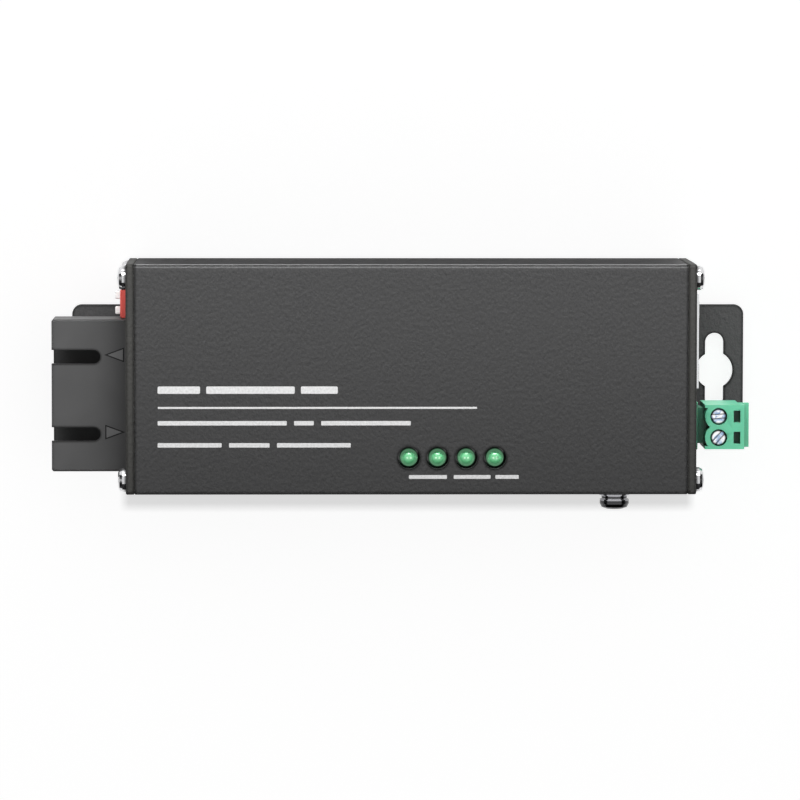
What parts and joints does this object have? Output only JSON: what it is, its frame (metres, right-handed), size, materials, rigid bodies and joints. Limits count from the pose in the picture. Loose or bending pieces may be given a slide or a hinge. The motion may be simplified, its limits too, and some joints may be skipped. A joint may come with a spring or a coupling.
{
  "type": "fibre media converter",
  "caption": "Small industrial converter box that joins a copper network cable to a duplex fibre pair, in an extruded metal case on a keyhole wall plate.",
  "frame": {"origin": "centre of the wall-mounting plate's underside, midway between its two keyholes", "axes": "+X along the case from the fibre end to the copper end, +Y across the case towards the jack, +Z out of the printed face"},
  "size_m": [0.115, 0.0403, 0.0252],
  "materials": {
    "case_paint": "fine sand-textured dark grey coating",
    "plate_paint": "fine-textured dark grey coating",
    "screw_nickel": "bright nickel plating",
    "black_zinc": "black nickel plating",
    "jack_steel": "bright nickel-plated sheet",
    "black_plastic": "moulded, fine spark-eroded texture",
    "receptacle_plastic": "moulded, satin",
    "terminal_green": "moulded, satin",
    "switch_red": "moulded, satin",
    "slider_white": "moulded, satin",
    "lamp_green": "clear tinted resin",
    "lens_clear": "clear resin",
    "board_green": "solder resist over glass laminate",
    "gold_contact": "gold plating",
    "tin_metal": "bright tin plating",
    "chip_black": "moulded epoxy",
    "can_aluminium": "drawn can",
    "ferrite": "sintered ferrite",
    "chip_ceramic": "fired ceramic"
  },
  "bodies": {
    "converter": {"mounting_plate": "plate_paint", "mounting_plate_screws": "screw_nickel", "case_sleeve": "case_paint", "fibre_end_plate": "case_paint", "copper_end_plate": "case_paint", "fibre_end_screws": "screw_nickel", "copper_end_screws": "screw_nickel", "circuit_board": "board_green", "transceiver_housing": "receptacle_plastic", "transceiver_board": "board_green", "transceiver_pins": "tin_metal", "dip_switch_body": "switch_red", "dip_switch_pins": "tin_metal", "jack_shell": "jack_steel", "jack_insert": "black_plastic", "jack_contacts": "gold_contact", "terminal_header": "terminal_green", "header_pins": "tin_metal", "lamp_holder": "black_plastic", "lamp_legs": "tin_metal", "controller_chip": "chip_black", "network_transformer": "chip_black", "memory_chip": "chip_black", "regulator_chip": "chip_black", "input_capacitor": "can_aluminium", "output_capacitor": "can_aluminium", "power_inductor": "ferrite", "crystal": "can_aluminium", "resettable_fuse": "chip_ceramic", "protection_diode": "chip_black", "chip_passives": "chip_ceramic", "transmitter_barrel": "tin_metal", "receiver_barrel": "tin_metal", "jack_lens_left": "lens_clear", "jack_lens_right": "lens_clear", "lamp_1": "lamp_green", "lamp_2": "lamp_green", "lamp_3": "lamp_green", "lamp_4": "lamp_green"},
    "plug": {"terminal_plug": "terminal_green", "plug_contacts": "tin_metal"},
    "clamp_screw_1": {"terminal_screw_1": "screw_nickel"},
    "clamp_screw_2": {"terminal_screw_2": "screw_nickel"},
    "clamp_1": {"clamp_cage_1": "tin_metal"},
    "clamp_2": {"clamp_cage_2": "tin_metal"},
    "switch_slider_1": {"dip_slider_1": "slider_white"},
    "switch_slider_2": {"dip_slider_2": "slider_white"},
    "ground_washers": {"ground_flat_washer": "black_zinc", "ground_spring_washer": "black_zinc"},
    "ground_turning_screw": {"ground_screw": "black_zinc"}
  },
  "joints": [
    {"name": "dip_slider_1_travel", "type": "slide", "parent": "converter", "child": "switch_slider_1", "axis": [0, 0, 1], "range_m": [0, 0.0013]},
    {"name": "dip_slider_2_travel", "type": "slide", "parent": "converter", "child": "switch_slider_2", "axis": [0, 0, 1], "range_m": [0, 0.0013]},
    {"name": "plug_pull", "type": "slide", "parent": "converter", "child": "plug", "axis": [1, 0, 0], "range_m": [0, 0.008]},
    {"name": "clamp_screw_1_turn", "type": "hinge", "parent": "plug", "child": "clamp_screw_1", "pos_m": [0.05075, -0.00659, 0.0154], "axis": [0, 0, 1], "range_deg": [-1800, 0]},
    {"name": "clamp_1_lift", "type": "slide", "parent": "plug", "child": "clamp_1", "axis": [0, 0, 1], "range_m": [0, 0.002]},
    {"name": "clamp_screw_2_turn", "type": "hinge", "parent": "plug", "child": "clamp_screw_2", "pos_m": [0.05075, -0.01009, 0.0154], "axis": [0, 0, 1], "range_deg": [-1800, 0]},
    {"name": "clamp_2_lift", "type": "slide", "parent": "plug", "child": "clamp_2", "axis": [0, 0, 1], "range_m": [0, 0.002]},
    {"name": "ground_washers_slide", "type": "slide", "parent": "converter", "child": "ground_washers", "axis": [0, -1, 0], "range_m": [0, 0.0009]},
    {"name": "ground_screw_turn", "type": "hinge", "parent": "ground_washers", "child": "ground_turning_screw", "pos_m": [0.03345, -0.01879, 0.0195], "axis": [0, -1, 0], "range_deg": [0, 720]}
  ],
  "couplings": [
    {"joint": "clamp_screw_1_turn", "follows": "clamp_1_lift", "rad_per_m": -15708},
    {"joint": "clamp_screw_2_turn", "follows": "clamp_2_lift", "rad_per_m": -15708},
    {"joint": "ground_screw_turn", "follows": "ground_washers_slide", "rad_per_m": 13963}
  ]
}
